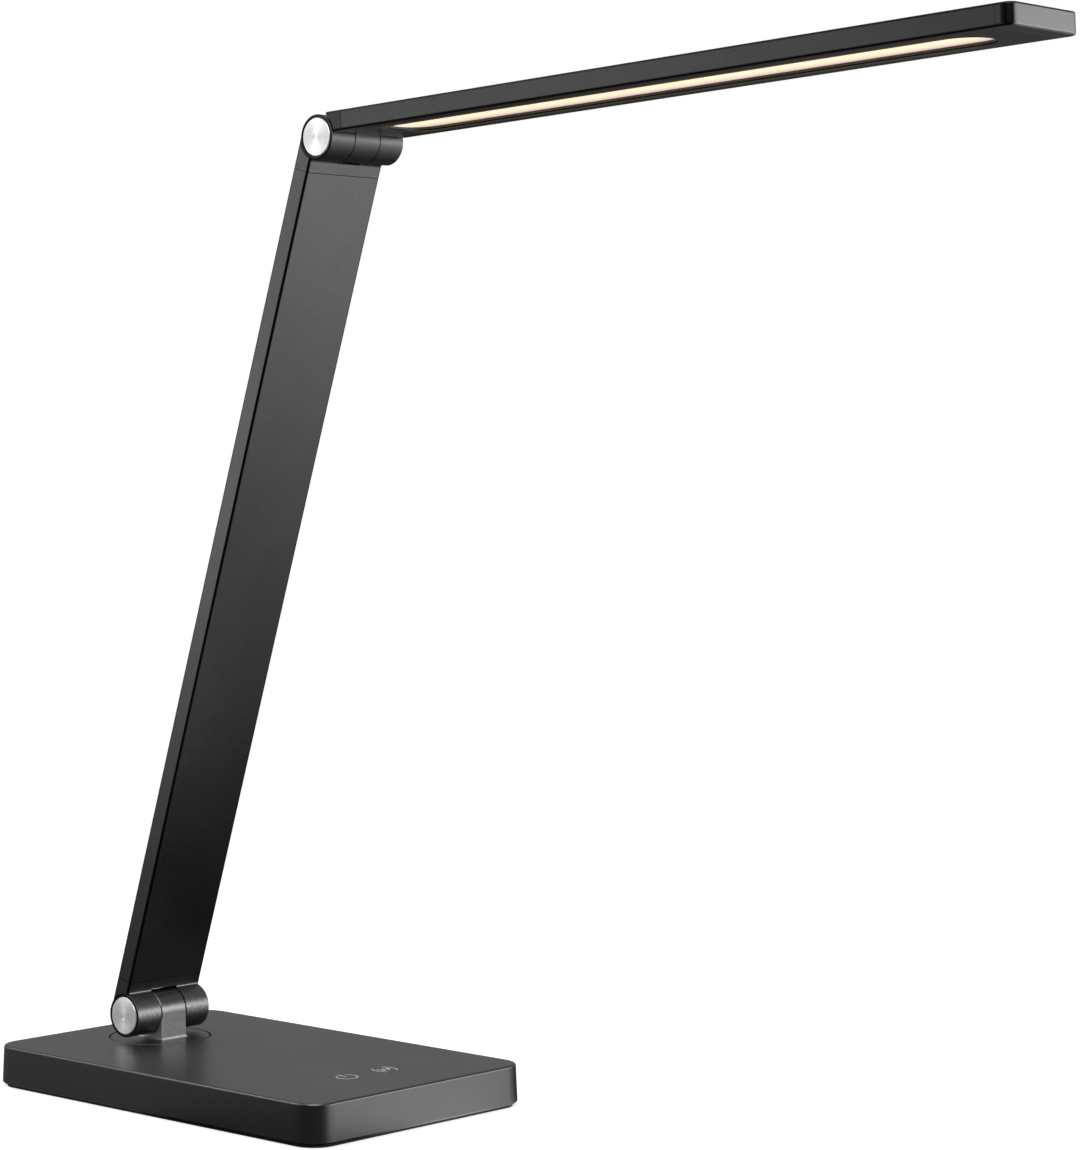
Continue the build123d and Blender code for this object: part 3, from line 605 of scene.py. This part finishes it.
def touch_marks():
    """The two printed marks over the touch pads: the power mark, and brackets round a wave.

    Angles are in degrees. The power mark's ring is open on both sides of its bar, and the
    brackets move out by a share of the wave's reach.
    """
    ring_opening = 34
    bar_start = 0.6 * millimetre
    bracket_sweep = 84
    bracket_shift = -0.66
    waves = 2.5
    wave_points = 33
    arc_points = 48
    ink = plain_plastic("grey_ink", grey(0.62), 0.45, 0.3, 0.004)
    tree = Geometry("touch_marks", {
        "Stroke Width": 0.5 * millimetre,
        "Ink Height": ink_height,
        "Ring Radius": 4.3 * millimetre,
        "Bar Reach": 5.5 * millimetre,
        "Bracket Radius": 6.6 * millimetre,
        "Wave Height": 1.5 * millimetre,
        "Wave Reach": 3.2 * millimetre,
    })
    stroke = tree.node(
        "GeometryNodeCurvePrimitiveQuadrilateral", None,
        {0: tree.size("Stroke Width"), 1: tree.size("Ink Height")},
    )

    def arc(radius, start, sweep):
        """An arc round the middle, its angles in degrees."""
        angles = {"Start Angle": math.radians(start), "Sweep Angle": math.radians(sweep)}
        return tree.node(
            "GeometryNodeCurveArc", None,
            {"Resolution": arc_points, "Radius": radius, **angles}, "Curve",
        )

    def line(start, end):
        return tree.node("GeometryNodeCurvePrimitiveLine", None, {"Start": start, "End": end})

    def inked(path):
        return tree.node(
            "GeometryNodeCurveToMesh", None,
            {"Curve": path, "Profile Curve": stroke, "Fill Caps": True},
        )

    ring = arc(tree.size("Ring Radius"), 90 + ring_opening, 360 - 2 * ring_opening)
    bar = line((0.0, bar_start, 0.0), tree.vector(0.0, tree.size("Bar Reach"), 0.0))
    power = tree.join(inked(ring), inked(bar))

    reach = tree.size("Wave Reach")
    brackets = []
    for turn in (0.0, math.pi):
        bow = arc(tree.size("Bracket Radius"), -bracket_sweep / 2, bracket_sweep)
        bow = tree.moved(bow, tree.vector(reach * bracket_shift, 0.0, 0.0))
        brackets.append(inked(tree.moved(bow, (0.0, 0.0, 0.0), (0.0, 0.0, turn))))
    wave = line(tree.vector(reach * -1.0, 0.0, 0.0), tree.vector(reach, 0.0, 0.0))
    wave = tree.node("GeometryNodeResampleCurve", None, {"Curve": wave, "Count": wave_points})
    factor = tree.node("GeometryNodeSplineParameter", None, None, "Factor")
    rise = (factor * (waves * math.tau)).math("SINE") * tree.size("Wave Height")
    offset = tree.vector(0.0, rise, 0.0)
    wave = tree.node("GeometryNodeSetPosition", None, {"Geometry": wave, "Offset": offset})
    dimmer = tree.join(inked(wave), *brackets)

    height = base_top + 0.5 * ink_height
    power = tree.moved(power, (-touch_mark_x, touch_mark_y, height))
    dimmer = tree.moved(dimmer, (touch_mark_x, touch_mark_y, height))
    marks = tree.piece(tree.painted(tree.join(power, dimmer), ink))
    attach(marks, "base")


def diode_packages():
    """Two rows of diode packages under the board: white bodies whose yellow windows face down.

    A window's sizes are shares of its package's.
    """
    window_width = 0.72
    window_length = 0.76
    window_height = 0.15
    tilt = Matrix.Translation(upper_hinge) @ Matrix.Rotation(head_tilt, 4, "X")
    points = [tilt.inverted() @ vertex.co for vertex in nodes["leds"].data.vertices]
    low = Vector(min(point[axis] for point in points) for axis in range(3))
    high = Vector(max(point[axis] for point in points) for axis in range(3))
    tree = Geometry("diode_packages", {
        "Body Width": diode_width,
        "Body Length": diode_length,
        "Body Height": high.y - low.y,
        "Rows Apart": high.x - low.x - diode_width,
        "Pitch": (high.z - low.z - diode_length) / (diode_count - 1),
    })
    width = tree.size("Body Width")
    length = tree.size("Body Length")
    height = tree.size("Body Height")
    body = tree.cuboid(width, height * (1 - window_height), length)
    body = tree.moved(body, tree.vector(0.0, height * (window_height / 2), 0.0))
    window = tree.cuboid(width * window_width, height * window_height, length * window_length)
    window = tree.moved(window, tree.vector(0.0, height * ((window_height - 1) / 2), 0.0))
    package = tree.join(
        tree.painted(body, finishes["led_board_white"]),
        tree.painted(window, finishes["led_phosphor"]),
    )
    row_start = tree.size("Pitch") * ((1 - diode_count) / 2)
    row_step = tree.vector(0.0, 0.0, tree.size("Pitch"))
    rows = []
    for side in (-0.5, 0.5):
        start = tree.vector(tree.size("Rows Apart") * side, 0.0, row_start)
        rows.append(tree.node(
            "GeometryNodeMeshLine", None,
            {"Count": diode_count, "Start Location": start, "Offset": row_step},
        ))
    packages = tree.node(
        "GeometryNodeInstanceOnPoints", None, {"Points": tree.join(*rows), "Instance": package}
    )
    middle = tilt @ ((low + high) / 2)
    packages = tree.piece(tree.moved(packages, tuple(middle), (head_tilt, 0.0, 0.0)))
    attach(packages, "head")
    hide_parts("leds")


touch_marks()
diode_packages()


# Studio

# Directions along the floor: away from the camera, and to its right
away = Vector((math.sin(camera_turn), math.cos(camera_turn)))
right = Vector((math.cos(camera_turn), -math.sin(camera_turn)))

# The world as the lamp mirrors it: dark behind the camera, paler beyond the lamp and high up
far_span = (-0.15, 0.95)
far_light = (0.0, 0.35)
high_span = (0.22, 0.60)
high_light = (0.0, 0.25)

# The floor lies just under the lamp, so that they don't share a face. Near the lamp it shows a
# share of its real shading, so that it keeps a soft shadow, and further out it is plain white.
floor_radius = 30.0
floor_sides = 96
floor_drop = 0.0002
shadow_reach = (0.3, 0.8)
shadow_share = (0.6, 0.0)
shadow_fill = 0.52

# The floor as the lamp mirrors it, by direction: dim beyond the lamp, brighter to the left the
# further it lies, and brightest to the right, also close by before the base
beyond_span = (-0.3, 0.5)
beyond_light = (0.01, 0.115)
middle_span = (-0.15, 0.25)
middle_gain = (0.3, 0.8)
left_span = (-0.45, -0.85)
left_light = 0.12
left_growth = 0.22
left_limit = 0.9
right_span = (0.45, 0.85)
right_light = 1.65
right_power = 1.8
right_limit = 1.5
before_slant = 0.8
before_span = (0.03, 0.08)
before_reach = (0.38, 0.26)


def glowing(finish, strength):
    """White light of the given strength."""
    return finish.node("ShaderNodeEmission", None, {"Color": grey(1.0), "Strength": strength})


def blended(finish, factor, first, second):
    """Two shaders mixed by a factor."""
    return finish.node("ShaderNodeMixShader", None, {0: factor, 1: first, 2: second})


def pale_floor():
    """A round white floor with a soft shadow near the lamp, lit from both sides in reflections."""
    mesh = bpy.data.meshes.new("floor")
    angles = [math.tau * step / floor_sides for step in range(floor_sides)]
    ring = [
        (floor_radius * math.cos(angle), floor_radius * math.sin(angle), 0.0) for angle in angles
    ]
    mesh.from_pydata(ring, [], [tuple(range(floor_sides))])
    floor = new_object("floor", mesh)
    floor.location.z = -floor_drop
    finish = Finish("floor_white")
    x, y = finish.parts(finish.place, "XY")
    distance = finish.place.math("LENGTH")
    across = x * right.x + y * right.y
    along = x * away.x + y * away.y
    side = across / distance

    beyond = finish.between(along / distance, *beyond_span, *beyond_light)
    beyond = beyond * finish.between(side, *middle_span, *middle_gain)
    before_base = finish.between(y * -1.0 - x * before_slant, *before_span)
    before_base = before_base * finish.between(distance, *before_reach) * right_limit
    on_right = across.math("MAXIMUM", 0.0) ** right_power * right_light
    on_right = on_right.math("MINIMUM", right_limit).math("MAXIMUM", before_base)
    on_left = left_light - across.math("MINIMUM", 0.0) * left_growth
    on_left = on_left.math("MINIMUM", left_limit)
    mirrored = beyond + finish.between(side, *right_span) * (on_right - beyond)
    mirrored = mirrored + finish.between(side, *left_span) * (on_left - beyond)

    matte = finish.node("ShaderNodeBsdfDiffuse", None, {"Color": grey(0.80)})
    white = glowing(finish, 1.0)
    shaded = finish.node("ShaderNodeAddShader", None, {0: matte, 1: glowing(finish, shadow_fill)})
    near = finish.between(distance, *shadow_reach, *shadow_share)
    ground = blended(finish, near, white, shaded)
    seen = blended(finish, finish.ray("Is Camera Ray", "Is Transmission Ray"), matte, ground)
    blend = blended(finish, finish.ray("Is Glossy Ray"), seen, glowing(finish, mirrored))
    finish.end("ShaderNodeOutputMaterial", blend)
    finish.material.cycles.emission_sampling = "NONE"
    mesh.materials.append(finish.material)


def studio_world():
    """White behind the lamp; in reflections pale on the lamp's far side and dark on the near one."""
    world = bpy.data.worlds.new("studio")
    world.use_nodes = True
    bpy.context.scene.world = world
    shader = Shader(world.node_tree)
    x, y, z = shader.parts(shader.node("ShaderNodeTexCoord", None, None, "Generated"))
    level = shader.between(x * away.x + y * away.y, *far_span, *far_light)
    level = level.math("MAXIMUM", shader.between(z, *high_span, *high_light))
    strength = shader.node(
        "ShaderNodeMix", {"data_type": "FLOAT"},
        {"Factor_Float": shader.ray("Is Camera Ray"), "A_Float": level, "B_Float": 1.0},
        "Result_Float",
    )
    background = shader.node(
        "ShaderNodeBackground", None, {"Color": grey(1.0), "Strength": strength}
    )
    shader.end("ShaderNodeOutputWorld", background)


def softbox(name, place, aim_height, width, height, power):
    """A soft light, width by height, that faces a point over the middle of the base."""
    light = bpy.data.lights.new(name, "AREA")
    light.shape = "RECTANGLE"
    light.size = width
    light.size_y = height
    light.energy = power
    holder = new_object(name, light)
    holder.location = place
    toward = Vector((0.0, 0.0, aim_height)) - Vector(place)
    holder.rotation_euler = toward.to_track_quat("-Z", "Y").to_euler()
    holder.visible_camera = False


def front_camera():
    """The scene's camera, to the left of the lamp's front and a little above the arm's middle."""
    camera = bpy.data.cameras.new("camera")
    camera.lens = camera_lens
    camera.sensor_width = 36.0
    camera.clip_start = 0.05
    camera.clip_end = 100.0
    holder = new_object("camera", camera)
    holder.location = camera_place
    holder.rotation_euler = (math.pi / 2 - camera_dip, 0.0, -camera_turn)
    bpy.context.scene.camera = holder


pale_floor()
studio_world()
softbox("overhead", (0.0, 0.0, 1.8), aim_height=0.1, width=1.2, height=1.2, power=14.0)
softbox("right", (1.72, -2.46, 0.51), aim_height=0.30, width=3.2, height=0.98, power=50.0)
softbox("left", (-0.675, 1.088, 0.42), aim_height=0.25, width=0.60, height=0.60, power=1.22)
softbox("far_left", (-1.214, 0.724, 0.42), aim_height=0.25, width=0.70, height=0.60, power=1.00)
softbox("high_left", (-0.75, 0.83, 0.97), aim_height=0.20, width=0.80, height=0.60, power=5.4)
softbox("front_fill", (-0.95, -0.95, 1.40), aim_height=0.20, width=1.2, height=1.2, power=21.0)
front_camera()
bpy.context.scene.view_settings.view_transform = "Standard"
